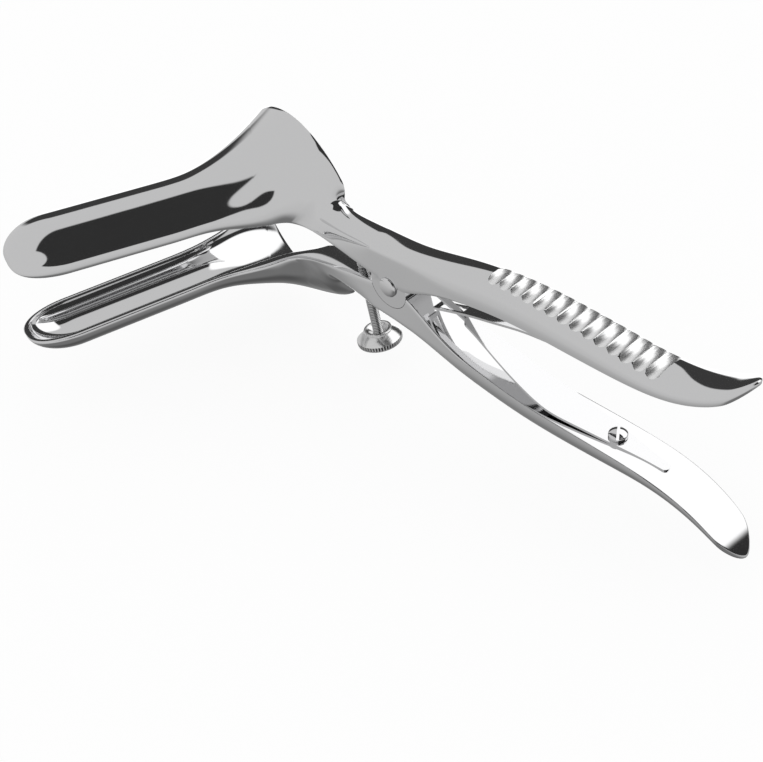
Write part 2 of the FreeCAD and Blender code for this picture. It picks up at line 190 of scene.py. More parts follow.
def trough_point(along, angle, wall=0.0, tip=0.0):
    """A point of the trough: angle pi is the far rim, 0 the near rim; tip turns into the round tip."""
    half_width = TROUGH_HALF_WIDTH + flare(along, FLARE_START, FLARE_SPREAD, FLARE_SPREAD_POWER) - wall
    depth = TROUGH_DEPTH + flare(along, CROWN_FLARE_START, CROWN_FLARE_RISE, CROWN_FLARE_POWER) - wall
    if math.cos(angle) > 0:
        if not wall:
            half_width -= NEAR_DIP * math.exp(-((along - NEAR_DIP_ALONG) / NEAR_DIP_REACH) ** 2)
            half_width += NEAR_FULLER * smooth((along - NEAR_FULLER_FROM) / NEAR_FULLER_REACH)
        elif along < HOLLOW_NEAR[0][0]:
            hollowed = smooth((HOLLOW_NEAR[0][0] - along) / HOLLOW_BLEND)
            half_width = mix(half_width, hollow_near(along), hollowed)
    if tip:
        along += (TIP_ROUND_LENGTH - wall) * math.sin(tip)
        half_width *= math.cos(tip) ** (TIP_NEAR_POWER if math.cos(angle) > 0 else TIP_FAR_POWER)
        depth *= math.cos(tip) ** TIP_DEPTH_POWER
    across = half_width * math.cos(angle)
    up = RIM_CLEARANCE + max(0.0, depth - RIM_CLEARANCE) * math.sin(angle)
    return np.array((
        -BLADE_OFFSET - along * math.sin(BLADE_ANGLE) + across * math.cos(BLADE_ANGLE),
        -along * math.cos(BLADE_ANGLE) - across * math.sin(BLADE_ANGLE),
        up,
    ))


def rear_along(angle, wall):
    """Where a line of the trough meets the rear face of the funnel."""
    low, high = REAR_SEARCH
    for _ in range(REAR_SEARCH_STEPS):
        middle = (low + high) / 2
        x, y, _z = trough_point(middle, angle, wall)
        if y > REAR_FACE_Y + REAR_FACE_SLOPE * (x - REAR_FACE_X):
            low = middle
        else:
            high = middle
    return (low + high) / 2


# A half as a tube of closed sections, from the tip of the blade to the end of the handle

OUTER_STEPS = 32
INNER_STEPS = 24
RING_POINTS = OUTER_STEPS + INNER_STEPS + 12  # with the two bands and the corners
LENGTH_STEPS = 8             # steps in which a curve's length is measured
MOST_TRIMMED = 0.3           # share of a curve that its rounded corner takes at most
CORNER_CUT = 0.293           # share of its radius by which a quarter circle stays inside its corner
TINY = 1e-6


def closed_section(outer, inner):
    """Outer curve from far to near edge, inner curve back, and the two bands, with rounded corners."""
    def length(curve):
        points = [curve(k / LENGTH_STEPS) for k in range(LENGTH_STEPS + 1)]
        return sum(np.linalg.norm(b - a) for a, b in zip(points, points[1:]))

    def trimmed(reach):
        return min(MOST_TRIMMED, EDGE / max(reach, TINY))

    def corner(before, at, after):
        return at + CORNER_CUT * ((before - at) + (after - at))

    cut_outer, cut_inner = trimmed(length(outer)), trimmed(length(inner))
    near_out, near_in, far_in, far_out = outer(1.0), inner(0.0), inner(1.0), outer(0.0)
    cut_near = trimmed(np.linalg.norm(near_in - near_out))
    cut_far = trimmed(np.linalg.norm(far_in - far_out))
    points = [outer(cut_outer + (1 - 2 * cut_outer) * k / OUTER_STEPS) for k in range(OUTER_STEPS + 1)]
    band = [mix(near_out, near_in, t) for t in (cut_near, 0.5, 1 - cut_near)]
    points += [corner(points[-1], near_out, band[0])] + band
    back = [inner(cut_inner + (1 - 2 * cut_inner) * k / INNER_STEPS) for k in range(INNER_STEPS + 1)]
    points += [corner(band[-1], near_in, back[0])] + back
    band = [mix(far_in, far_out, t) for t in (cut_far, 0.5, 1 - cut_far)]
    points += [corner(back[-1], far_in, band[0])] + band + [corner(band[-1], far_out, points[0])]
    return np.array(points)


FAN_START = 24.0
FAN_CORNER = 0.26
FAN_NEAR_END = -2.5
FAN_INNER_FROM = 0.45        # from here on the inside's near end moves back to the rear edge
FAN_INNER_GAP = 0.3
FOOT_OUTER = 0.40            # the rear edge meets the neck's crown at this angle of the trough
FOOT_OPENS = 0.72            # from here on the rear edge widens into the neck's far side
FOOT_PULL = 6.5              # the rear edge comes down steeply at its foot
FOOT_PULL_FROM = 0.75
FOOT_PULL_SPAN = 0.4
FOOT_PULL_POWER = 1.5
FOOT_PULL_REACH = 9.0
MOUTH_ROLL = 0.60            # slope that the mouth's outside loses at its rear edge
MOUTH_ROLL_REACH = 4.0
MOUTH_ROLL_TOP = 1.9         # angle of the trough above which the mouth isn't rolled
MOUTH_ROLL_FADE = 0.5
NECK_BLEND = 2.0             # softness of the hollow between funnel and neck
NECK_BLEND_RISE = 3.0        # the neck grows into the funnel fully above this height
NECK_BLEND_GAP = 8.0         # and only where the funnel is less than this above it
NECK_SIDE_FALL = 4.0         # the drawn on neck falls off beyond its sides
NECK_FRONT_FALL = 0.4        # and towards the blade
REAR_SHARE = -REAR_FACE_SLOPE


def neck_height(x, y):
    """Top of the neck, drawn on into the funnel."""
    half_width = arm_values(max(x, NECK_START))[1]
    beyond = max(0.0, abs(y) - half_width)
    top = crown_height(max(x, NECK_START), y)
    return top - NECK_SIDE_FALL * beyond - NECK_FRONT_FALL * max(0.0, NECK_START - x)


def mouth_point(along, angle):
    """A point of the funnel's outside, with the rolled mouth and the neck grown into it."""
    point = trough_point(along, angle)
    rear = rear_along(angle, 0.0)
    behind = max(0.0, along - rear)
    pull = FOOT_PULL * max(0.0, (FOOT_PULL_FROM - angle) / FOOT_PULL_SPAN) ** FOOT_PULL_POWER
    pull *= smooth(1 - behind / FOOT_PULL_REACH)
    point = point - pull * np.array((math.cos(BLADE_ANGLE), -REAR_SHARE * math.cos(BLADE_ANGLE), 0))
    share = smooth(MOUTH_ROLL_TOP - angle) * smooth(angle / MOUTH_ROLL_FADE)
    point[2] += MOUTH_ROLL * share * behind * math.exp(-behind / MOUTH_ROLL_REACH)
    neck = neck_height(point[0], point[1])
    gap = point[2] - neck
    grown = (point[2] + neck + math.hypot(gap, NECK_BLEND)) / 2
    if gap < NECK_BLEND_GAP:
        point[2] = mix(point[2], grown, smooth(point[2] / NECK_BLEND_RISE))
    return point


def fan_section(q):
    """From straight across the blade at q = 0 round the funnel's rear edge to the neck at q = 1."""
    corner_along = [rear_along(math.pi, wall) for wall in (0.0, WALL)]
    near = mix(FAN_START, FAN_NEAR_END, q)
    if q <= FAN_CORNER:
        far = [(mix(FAN_START, along, q / FAN_CORNER), math.pi) for along in corner_along]
    else:
        run = (q - FAN_CORNER) / (1 - FAN_CORNER)
        outer_angle = mix(math.pi, FOOT_OUTER, run)
        inner_angle = outer_angle * (1 - smooth((q - FOOT_OPENS) / (1 - FOOT_OPENS)))
        far = [(rear_along(outer_angle, 0.0), outer_angle), (rear_along(inner_angle, WALL), inner_angle)]
    moved = smooth((q - FAN_INNER_FROM) / (1 - FAN_INNER_FROM))
    near_in = mix(near, rear_along(0.0, WALL) + FAN_INNER_GAP, moved)

    def outer(t):
        return mouth_point(mix(far[0][0], near, t), far[0][1] * (1 - t))

    def inner(t):
        return trough_point(mix(near_in, far[1][0], t), far[1][1] * t, WALL)

    return closed_section(outer, inner)


NECK_SIDE_SHARE = 0.2        # part of the outer curve's points on the flat near side
HOLLOW_ENDS = -25.0
HOLLOW_FADE = 10.0
INNER_NEAR_AT_HOLLOW = 0.93  # where the inner face starts, in half widths, at the hollow's end
INNER_NEAR_ON_ARM = -0.75    # and on the arm


def arm_section(x, slant=0.0):
    """A section of neck or handle; slant moves its near edge towards the blade."""
    def at(y_share, height):
        place = x + slant * y_share
        inner_z, half_width, side, crown = arm_values(place)
        return np.array((place, y_share * half_width, inner_z + height(side, crown)))

    def outer(t):
        share = 1 - NECK_SIDE_SHARE
        if t < share:
            angle = math.pi * t / share
            across = math.copysign(abs(math.cos(angle)) ** (2 / CROWN_SHAPE), math.cos(angle))
            rise = abs(math.sin(angle)) ** (2 / CROWN_SHAPE)
            return at(across, lambda side, crown: side + crown * rise)
        return at(-1.0, lambda side, crown: side * (1 - t) / NECK_SIDE_SHARE)

    start = mix(INNER_NEAR_AT_HOLLOW, INNER_NEAR_ON_ARM, smooth((x - HOLLOW_ENDS) / HOLLOW_FADE))

    def inner(t):
        return at(mix(start, 1.0, t), lambda side, crown: 0.0)

    return closed_section(outer, inner)


BRIDGE_PULL = 0.5


def bridge(first, before, last, after, count):
    """Sections between two, leaving each in the direction it is heading."""
    reach = np.linalg.norm(last - first, axis=1, keepdims=True) * BRIDGE_PULL
    leave = first - before
    leave = leave / np.maximum(np.linalg.norm(leave, axis=1, keepdims=True), TINY) * reach
    arrive = after - last
    arrive = arrive / np.maximum(np.linalg.norm(arrive, axis=1, keepdims=True), TINY) * reach
    sections = []
    for k in range(1, count):
        t = k / count
        sections.append((2 * t**3 - 3 * t**2 + 1) * first + (t**3 - 2 * t**2 + t) * leave
                        + (3 * t**2 - 2 * t**3) * last + (t**3 - t**2) * arrive)
    return sections


NEAR_EDGE_COLUMN = OUTER_STEPS + 6
RELAX_SHARE = 0.5            # of the way to the neighbours' mean, in each round
RELAX_FADE = 8               # rows and columns over which the evening out sets in
RELAX_KEPT = 2               # columns at the far edge that stay
RELAX_NEAR_FADE = 6          # columns past the near edge over which it ends


def relax(rings, first, last, rounds, keep_far_edge):
    """Even out the rings from first to last, fully in the middle; the far edge may stay as it is."""
    rows = np.arange(first, last)
    row_weight = np.clip(np.minimum(rows - first + 1, last - rows) / RELAX_FADE, 0, 1)
    columns = np.arange(RING_POINTS)
    column_weight = np.clip((columns - RELAX_KEPT) / RELAX_FADE, 0, 1)
    past_edge = columns[NEAR_EDGE_COLUMN:] - NEAR_EDGE_COLUMN
    column_weight[NEAR_EDGE_COLUMN:] = np.clip(1 - past_edge / RELAX_NEAR_FADE, 0, 1)
    if not keep_far_edge:
        column_weight = np.ones(RING_POINTS)
    weight = RELAX_SHARE * row_weight[:, None, None] * column_weight[None, :, None]
    crown = slice(2, OUTER_STEPS - 1)
    for _ in range(rounds):
        target = (rings[rows - 1] + rings[rows + 1]) / 2
        across = (np.roll(rings, 1, axis=1)[rows] + np.roll(rings, -1, axis=1)[rows]) / 2
        target[:, crown] = (target[:, crown] + across[:, crown]) / 2
        rings[rows] += weight * (target - rings[rows])
    return rings


TIP_ROWS = 20
BLADE_ROWS = 45
FAN_ROWS = 100
BRIDGE_ROWS = 10
ARM_START = -25.0
ARM_STEP = 1.2
ARM_ROWS = 118
ARM_SLANT = 3.0              # the first sections of the neck lean, as the last of the funnel do
ARM_SLANT_ROWS = 12
END_ROWS = 14
NECK_RELAX = (-18, 22, 160)  # first and last row, counted from the neck's first one, and rounds
FOOT_RELAX = (-4, 16, 10)


def half_sections():
    """All rings of a half, from the tip of the blade to the end of the handle."""
    straight_end = BLADE_LENGTH - TIP_ROUND_LENGTH
    sections = []
    for k in range(TIP_ROWS):
        turn = math.pi / 2 * (1 - k / TIP_ROWS)
        sections.append(closed_section(
            lambda t: trough_point(straight_end, math.pi * (1 - t), 0.0, turn),
            lambda t: trough_point(straight_end, math.pi * t, WALL, turn)))
    for k in range(BLADE_ROWS):
        along = mix(straight_end, FAN_START, k / BLADE_ROWS)
        sections.append(closed_section(
            lambda t: trough_point(along, math.pi * (1 - t)),
            lambda t: trough_point(along, math.pi * t, WALL)))
    fans = [fan_section(k / FAN_ROWS) for k in range(FAN_ROWS + 1)]
    arms = []
    for k in range(ARM_ROWS):
        reached = ARM_START + k * ARM_STEP
        arms.append(arm_section(reached, ARM_SLANT * (1 - smooth(k / ARM_SLANT_ROWS))))
    first_turn = math.asin((reached - ARM_END_ROUND) / (ARM_END - ARM_END_ROUND))
    for k in range(1, END_ROWS + 1):
        turn = mix(first_turn, math.pi / 2, k / END_ROWS)
        arms.append(arm_section(mix(ARM_END_ROUND, ARM_END, math.sin(turn))))
    neck = bridge(fans[-1], fans[-2], arms[0], arms[1], BRIDGE_ROWS)
    rings = np.array(sections + fans + neck + arms)
    neck_row = len(sections) + len(fans)
    for (first, last, rounds), keep in ((NECK_RELAX, True), (FOOT_RELAX, False)):
        rings = relax(rings, neck_row + first, neck_row + last, rounds, keep_far_edge=keep)
    rings[:, :, 2] = np.maximum(rings[:, :, 2], RIM_CLEARANCE)
    return rings


# Mesh tools

MERGE_DISTANCE = 2e-6


def select_only(piece):
    bpy.ops.object.select_all(action="DESELECT")
    piece.select_set(True)
    bpy.context.view_layer.objects.active = piece


def finish_mesh(piece, angle=32.0):
    """Merge doubled points, turn all faces outwards and shade smooth but for the edges."""
    select_only(piece)
    bpy.ops.object.mode_set(mode="EDIT")
    bpy.ops.mesh.select_all(action="SELECT")
    bpy.ops.mesh.remove_doubles(threshold=MERGE_DISTANCE)
    bpy.ops.mesh.normals_make_consistent(inside=False)
    bpy.ops.object.mode_set(mode="OBJECT")
    bpy.ops.object.shade_smooth_by_angle(angle=math.radians(angle))


def write_points(piece, points):
    """Move all of a mesh's points, given in millimetres."""
    piece.data.vertices.foreach_set("co", (np.asarray(points, float) * MM).ravel())
    piece.data.update()


def loft(name, sections, grooves=None):
    """A grid bent onto the sections, each a ring of points; grooves has each point's share of a groove, kept
    as the mask of the painted shade in the grooves.
    """
    sections = np.array(sections)
    sections = np.concatenate([sections, sections[:, :1]], axis=1)
    rows, ring = sections.shape[:2]
    bpy.ops.mesh.primitive_grid_add(x_subdivisions=ring - 1, y_subdivisions=rows - 1, size=2)
    piece = bpy.context.object
    piece.name = piece.data.name = name
    flat = np.empty(len(piece.data.vertices) * 3)
    piece.data.vertices.foreach_get("co", flat)
    flat = flat.reshape(-1, 3)
    column = np.rint((flat[:, 0] + 1) / 2 * (ring - 1)).astype(int)
    row = np.rint((flat[:, 1] + 1) / 2 * (rows - 1)).astype(int)
    write_points(piece, sections[row, column])
    # Each point's groove share, which the thumb screw's material uses to paint shade into its grooves
    if grooves is not None:
        grooves = np.array(grooves)
        grooves = np.concatenate([grooves, grooves[:, :1]], axis=1)
        share = piece.data.attributes.new("groove", "FLOAT", "POINT")
        share.data.foreach_set("value", grooves[row, column].astype(float))
    return piece


def cap_ends(piece):
    """Close the open ends of a loft."""
    select_only(piece)
    bpy.ops.object.mode_set(mode="EDIT")
    bpy.ops.mesh.select_all(action="SELECT")
    bpy.ops.mesh.remove_doubles(threshold=MERGE_DISTANCE)
    bpy.ops.mesh.select_all(action="DESELECT")
    bpy.ops.mesh.select_non_manifold()
    bpy.ops.mesh.edge_face_add()
    bpy.ops.object.mode_set(mode="OBJECT")


def apply_boolean(piece, cutter, operation):
    """Cut the cutter from the piece or join it on, and remove it."""
    select_only(piece)
    modifier = piece.modifiers.new("cut", "BOOLEAN")
    modifier.operation = operation
    modifier.solver = "EXACT"
    modifier.object = cutter
    bpy.ops.object.modifier_apply(modifier=modifier.name)
    bpy.data.objects.remove(cutter, do_unlink=True)


def round_bar(name, radius, low, high, axis, segments=128):
    """A round bar along Y or Z; low and high are its two end points."""
    low, high = Vector(low), Vector(high)
    turn = (math.pi / 2, 0, 0) if axis == "Y" else (0, 0, 0)
    bpy.ops.mesh.primitive_cylinder_add(
        vertices=segments, radius=radius * MM, depth=(high - low).length * MM,
        location=(low + high) / 2 * MM, rotation=turn)
    bar = bpy.context.object
    bar.name = bar.data.name = name
    bpy.ops.object.transform_apply(location=True, rotation=True, scale=True)
    return bar


def box(size):
    """A box of this size about the origin."""
    bpy.ops.mesh.primitive_cube_add(size=1, location=(0, 0, 0))
    piece = bpy.context.object
    piece.data.transform(Matrix.Diagonal((*(Vector(size) * MM), 1)))
    return piece


def place(piece, turn, lower=False):
    """Turn a piece of the closed drawing about the pivot into its place at rest."""
    matrix = Matrix.Rotation(turn, 4, "Y")
    if lower:
        matrix = matrix @ Matrix.Scale(-1, 4, Vector((0, 0, 1)))
    matrix = Matrix.Translation((0, PIVOT_Y * MM, 0)) @ matrix
    piece.data.transform(matrix)
    if lower:
        piece.data.flip_normals()
    piece.data.update()


UP_TURN = REST_OPENING / 2
DOWN_TURN = -REST_OPENING / 2

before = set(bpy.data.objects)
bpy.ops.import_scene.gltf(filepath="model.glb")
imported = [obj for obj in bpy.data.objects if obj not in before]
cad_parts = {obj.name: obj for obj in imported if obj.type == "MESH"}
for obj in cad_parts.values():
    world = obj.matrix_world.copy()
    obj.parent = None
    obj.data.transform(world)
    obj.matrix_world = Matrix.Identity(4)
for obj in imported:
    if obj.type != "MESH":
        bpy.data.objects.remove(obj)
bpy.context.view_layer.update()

HALF_EDGE_ANGLE = 50         # degrees from which an edge of a half is shaded sharp


def lap(piece, ear_side):
    """Cut the lap joint's recess and add the round ear; ear_side is 1 for +Y and -1 for -Y."""
    inside = ear_side * LAP_CLEARANCE
    past = -ear_side * (JOINT_HALF_WIDTH + LAP_CUT_BEYOND)
    recess = round_bar("recess", EAR_RADIUS + EAR_CLEARANCE, (0, inside, 0), (0, past, 0), "Y")
    apply_boolean(piece, recess, "DIFFERENCE")
    ear = round_bar("ear", EAR_RADIUS, (0, inside, 0), (0, ear_side * JOINT_HALF_WIDTH, 0), "Y")
    apply_boolean(piece, ear, "UNION")


def half(name, ear_side):
    """Blade, funnel, neck and handle in one piece, with its side of the lap joint."""
    piece = loft(name, half_sections())
    finish_mesh(piece, HALF_EDGE_ANGLE)
    lap(piece, ear_side)
    return piece


GROOVE_FIRST = 37.0
GROOVE_PITCH = 4.42
GROOVE_COUNT = 14
GROOVE_RADIUS = 2.9
GROOVE_FIRST_DEPTH = 1.1     # the first grooves get deeper one by one
GROOVE_DEPTH = 1.7
GROOVE_FULL_NUMBER = 4       # number of the first groove of full depth
GROOVE_MARGIN = 2.6          # the cutter reaches this far past the middle of the outer grooves
GROOVE_STEP = 0.13
CUTTER_HALF_WIDTH = 12
CUTTER_TOP = 60
GROOVES_FROM, GROOVES_TO = 34.0, 98.0  # the stretch of handle that has them
GROUND_FACING = 0.2          # a ground face looks up at least this much
GROUND_BELOW = 0.12          # and lies at least this much below the handle's round outside


def groove_cutter():
    """A bar whose underside is scalloped, to lie across the upper handle."""
    last = GROOVE_FIRST + GROOVE_PITCH * (GROOVE_COUNT - 1)
    centres = []
    for number in range(GROOVE_COUNT):
        depth = mix(GROOVE_FIRST_DEPTH, GROOVE_DEPTH, min(1.0, number / GROOVE_FULL_NUMBER))
        x = GROOVE_FIRST + number * GROOVE_PITCH
        centres.append((x, crown_height(x, 0.0) + GROOVE_RADIUS - depth))
    sections = []
    for x in np.arange(GROOVE_FIRST - GROOVE_MARGIN, last + GROOVE_MARGIN, GROOVE_STEP):
        z = min(top - math.sqrt(GROOVE_RADIUS**2 - (x - middle)**2)
                for middle, top in centres if abs(x - middle) < GROOVE_RADIUS)
        sections.append([(x, -CUTTER_HALF_WIDTH, z), (x, CUTTER_HALF_WIDTH, z),
                         (x, CUTTER_HALF_WIDTH, CUTTER_TOP), (x, -CUTTER_HALF_WIDTH, CUTTER_TOP)])
    cutter = loft("groove_cutter", sections)
    cap_ends(cutter)
    finish_mesh(cutter)
    return cutter


def faces_in_grooves(piece):
    """The faces that the groove cutter left, by their numbers."""
    found = set()
    for face in piece.data.polygons:
        x, y, height = face.center / MM
        on_handle = GROOVES_FROM < x < GROOVES_TO and abs(y) < ARM[1](x)
        if on_handle and face.normal.z > GROUND_FACING and height < crown_height(x, y) - GROUND_BELOW:
            found.add(face.index)
    return found


upper_half = half("upper_half_forging", -1)
apply_boolean(upper_half, groove_cutter(), "DIFFERENCE")
finish_mesh(upper_half, HALF_EDGE_ANGLE)
groove_faces = faces_in_grooves(upper_half)
place(upper_half, UP_TURN)

SCREW_X = -17.2
ROD_RADIUS = 1.7
ROD_CLEARANCE = 0.06
HOLE_FROM, HOLE_TO = -2, 30  # heights that are well past the neck on both sides
lower_half = half("lower_half_forging", 1)
hole = round_bar("hole", ROD_RADIUS + ROD_CLEARANCE, (SCREW_X, 0, HOLE_FROM), (SCREW_X, 0, HOLE_TO), "Z", 48)
apply_boolean(lower_half, hole, "DIFFERENCE")
finish_mesh(lower_half, HALF_EDGE_ANGLE)
place(lower_half, DOWN_TURN, lower=True)

# Leaf springs

SEAT_X, SEAT_Z = 81.0, 28.38  # where each spring is screwed to its handle
LEAF_POINTS = [(15.4, 0.6), (23.0, 4.5), (37.0, 12.3), (48.0, 18.5), (58.0, 22.9), (70.0, 25.9),
               (SEAT_X, SEAT_Z), (98.5, 32.8)]
LEAF_THICKNESS = 0.8
LEAF_END = 0.35              # rows lie closer over this length at the crossing end
LEAF_TAIL_ROUND = 1.2        # the screwed end's round tail
LEAF_ROWS = 130
LEAF_ACROSS = (-1, -0.93, -0.75, -0.5, -0.25, 0, 0.25, 0.5, 0.75, 0.93, 1)
LEAF_BEVEL = 0.12
TONGUE_HALF_WIDTH = 1.0      # the lower spring's tongue goes through the upper one's window
TONGUE_TO = 26.5
WINDOW_PLACE = (21.65, 0, 3)
WINDOW_SIZE = (9.7, 2.6, 20)
LEAF_WIDTHS = [(14.4, 2.1), (29.5, 2.3), (40.0, 3.8), (52.0, 5.2), (60.0, 5.7), (68.0, 5.1),
               (81.0, 3.5), (92.0, 2.0), (99.5, 1.3)]


def leaf(name, tongue):
    """A leaf spring that ends in a tongue, or else has a window for one."""
    height = spline([p[0] for p in LEAF_POINTS], [p[1] for p in LEAF_POINTS])
    width = spline([p[0] for p in LEAF_WIDTHS], [p[1] for p in LEAF_WIDTHS])
    first, last = LEAF_POINTS[0][0], LEAF_POINTS[-1][0]
    tail_from = last - LEAF_TAIL_ROUND
    sections = []
    ends = [first + LEAF_END * (1 - math.cos(math.pi / 2 * k / 4)) for k in range(4)]
    middle = list(np.linspace(first + LEAF_END, tail_from, LEAF_ROWS))
    tail = [tail_from + LEAF_TAIL_ROUND * math.sin(math.pi / 2 * k / 6) for k in range(1, 7)]
    for x in ends + middle + tail:
        half_width = width(x)
        if tongue:
            half_width = mix(TONGUE_HALF_WIDTH, half_width, smooth(x - TONGUE_TO))
        if x > tail_from:
            half_width *= math.sqrt(max(0.0, 1 - ((x - tail_from) / LEAF_TAIL_ROUND) ** 2)) * 0.98 + 0.02
        slope = (height(x + 0.1) - height(x - 0.1)) / 0.2
        normal = Vector((-slope, 0, 1)).normalized()
        top = [Vector((x, share * half_width, height(x))) for share in LEAF_ACROSS]
        sections.append(top + [point - normal * LEAF_THICKNESS for point in reversed(top)])
    piece = loft(name, sections)
    cap_ends(piece)
    if not tongue:
        window = box(WINDOW_SIZE)
        window.data.transform(Matrix.Translation(Vector(WINDOW_PLACE) * MM))
        apply_boolean(piece, window, "DIFFERENCE")
    finish_mesh(piece)
    select_only(piece)
    bevel = piece.modifiers.new("edges", "BEVEL")
    bevel.width = LEAF_BEVEL * MM
    bevel.segments = 2
    bevel.limit_method = "ANGLE"
    bevel.angle_limit = math.radians(50)
    bpy.ops.object.modifier_apply(modifier=bevel.name)
    bpy.ops.object.shade_smooth_by_angle(angle=math.radians(40))
    return piece


upper_leaf = leaf("upper_leaf_strip", False)
place(upper_leaf, UP_TURN)
lower_leaf = leaf("lower_leaf_strip", True)
place(lower_leaf, DOWN_TURN, lower=True)

# Turned pieces: profiles of (radius, height), spun round Z


def turned(name, profile, segments=96, teeth=0, tooth_depth=0.0, toothed=(0.0, 0.0, 0.0)):
    """A profile spun round Z; toothed gives the low and high end and the radius of a knurled rim."""
    sections, grooves = [], []
    for radius, height in profile:
        ring, waves = [], []
        for k in range(segments):
            angle = 2 * math.pi * k / segments
            wave = 0.0
            if teeth and toothed[0] <= height <= toothed[1] and radius > toothed[2]:
                wave = abs(((k * teeth / segments) % 1.0) * 2 - 1)
            r = radius - tooth_depth * wave
            ring.append((r * math.cos(angle), r * math.sin(angle), height))
            waves.append(wave)
        sections.append(ring)
        grooves.append(waves)
    return loft(name, sections, grooves if teeth else None)


def dome(radius, height, start, steps):
    """Points of a dome's profile up to the axis; start is the angle of the first one, in degrees."""
    points = []
    for k in range(steps + 1):
        angle = math.radians(mix(start, 90, k / steps))
        points.append((radius * math.cos(angle), height * math.sin(angle)))
    return points


HEAD_RADIUS = 2.85
HEAD_RIM = 0.8
HEAD_DOME = 1.0
HEAD_BREAK = 0.15            # the seat's edge is broken by this much
SLOT_SIZE = (0.8, 12, 1.8)
SLOT_MIDDLE = -1.8
SLOT_TURN = math.radians(35)
SEAT_SPAN = 4                # the seat's slope is taken this far to both sides


def spring_screw(name):
    """Slotted round head, drawn with its seat on z = 0 and the head below."""
    profile = [(0, 0), (1.0, 0), (HEAD_RADIUS - HEAD_BREAK, 0), (HEAD_RADIUS, -HEAD_BREAK),
               (HEAD_RADIUS, -HEAD_RIM)]
    profile += [(r, -HEAD_RIM - z) for r, z in dome(HEAD_RADIUS, HEAD_DOME, 4, 16)]
    head = turned(name, profile)
    finish_mesh(head)
    slot = box(SLOT_SIZE)
    slot.data.transform(Matrix.Rotation(SLOT_TURN, 4, "Z") @ Matrix.Translation((0, 0, SLOT_MIDDLE * MM)))
    apply_boolean(head, slot, "DIFFERENCE")
    finish_mesh(head, angle=30)
    slope = (ARM[0](SEAT_X + SEAT_SPAN) - ARM[0](SEAT_X - SEAT_SPAN)) / (2 * SEAT_SPAN)
    head.data.transform(Matrix.Translation((SEAT_X * MM, 0, SEAT_Z * MM))
                        @ Matrix.Rotation(-math.atan(slope), 4, "Y")
                        @ Matrix.Translation((0, 0, -LEAF_THICKNESS * MM)))
    return head


upper_screw = spring_screw("upper_spring_screw_head")
place(upper_screw, UP_TURN)
lower_screw = spring_screw("lower_spring_screw_head")
place(lower_screw, DOWN_TURN, lower=True)


def pivot():
    """Domed head on the near side, a flush end on the far side."""
    under = JOINT_HALF_WIDTH + 0.05
    profile = [(0, -JOINT_HALF_WIDTH), (1.85, -JOINT_HALF_WIDTH), (2.0, -JOINT_HALF_WIDTH + 0.15),
               (2.0, under), (3.15, under), (3.3, under + 0.12), (3.3, under + 0.35)]
    profile += [(r, under + 0.4 + z) for r, z in dome(3.25, 0.95, 6, 14)]
    piece = turned("pivot_screw_turned", profile)
    finish_mesh(piece, angle=30)
    piece.data.transform(Matrix.Rotation(math.pi / 2, 4, "X"))
    return piece


pivot_piece = pivot()
place(pivot_piece, DOWN_TURN)

KNOB_CENTRE = -27.5
KNOB_SEGMENTS = 384
KNOB_TEETH = 48
KNOB_TOOTH_DEPTH = 0.45
KNURL = (-0.75, 0.65, 7.2)   # low end, high end and least radius of the toothed part


def knob():
    """Knurled rim with a cup shaped boss, dished below."""
    profile = [
        (1.6, -0.55), (3.6, -0.55), (4.6, -0.9), (5.9, -0.95), (6.8, -0.95), (7.1, -0.88), (7.25, -0.7),
        (7.3, -0.2), (7.3, 0.3), (7.3, 0.6), (7.2, 0.8), (6.95, 1.1), (6.55, 1.45), (6.05, 1.85),
        (5.5, 2.25), (5.0, 2.55), (4.65, 2.75), (4.4, 2.9), (4.38, 3.05), (4.5, 3.2), (4.6, 3.35),
        (4.6, 3.6), (4.45, 3.78), (4.15, 3.82), (3.5, 3.8), (3.2, 3.65), (2.5, 3.0), (1.6, 2.2),
    ]
    piece = turned("thumb_screw_knob_turned", profile, KNOB_SEGMENTS, KNOB_TEETH, KNOB_TOOTH_DEPTH, KNURL)
    finish_mesh(piece, angle=36)
    piece.data.transform(Matrix.Translation((SCREW_X * MM, 0, KNOB_CENTRE * MM)))
    return piece


knob_piece = knob()
place(knob_piece, DOWN_TURN)

THREAD_PITCH = 0.6
THREAD_DEPTH = 0.4
THREAD_RUN_OUT = 0.8         # the thread ends softly over this length below the round tip
THREAD_RADIUS = ROD_RADIUS - 0.02
ROWS_PER_PITCH = 6
ROD_SEGMENTS = 40
ROD_FOOT = 0.55              # how far the rod's end lies below the knob's middle
ROD_TIP = 6.0


def rod():
    """Threaded all along, with a round tip."""
    low = KNOB_CENTRE - ROD_FOOT
    shoulder = ROD_TIP - ROD_RADIUS
    turns = [2 * math.pi * k / ROD_SEGMENTS for k in range(ROD_SEGMENTS)]
    count = int((shoulder - low) / THREAD_PITCH * ROWS_PER_PITCH)
    sections = [[(0.0, 0.0, low)] * ROD_SEGMENTS]
    grooves = [[0.0] * ROD_SEGMENTS]
    for row in range(count + 1):
        z = mix(low, shoulder, row / count)
        ring, waves = [], []
        for k, angle in enumerate(turns):
            phase = (z / THREAD_PITCH - k / ROD_SEGMENTS) % 1.0
            cut = abs(phase * 2 - 1) * smooth((shoulder - z) / THREAD_RUN_OUT)
            r = THREAD_RADIUS - THREAD_DEPTH * cut
            ring.append((r * math.cos(angle), r * math.sin(angle), z))
            waves.append(cut)
        sections.append(ring)
        grooves.append(waves)
    for r, up in dome(THREAD_RADIUS, ROD_RADIUS, 8, 8):
        sections.append([(r * math.cos(angle), r * math.sin(angle), shoulder + up) for angle in turns])
        grooves.append([0.0] * ROD_SEGMENTS)
    piece = loft("thumb_screw_thread", sections, grooves)
    finish_mesh(piece, angle=50)
    piece.data.transform(Matrix.Translation((SCREW_X * MM, 0, 0)))
    return piece


rod_piece = rod()
place(rod_piece, DOWN_TURN)

# Materials

WAVE_SIZE = 60.0             # of the slight unevenness of a polished forging


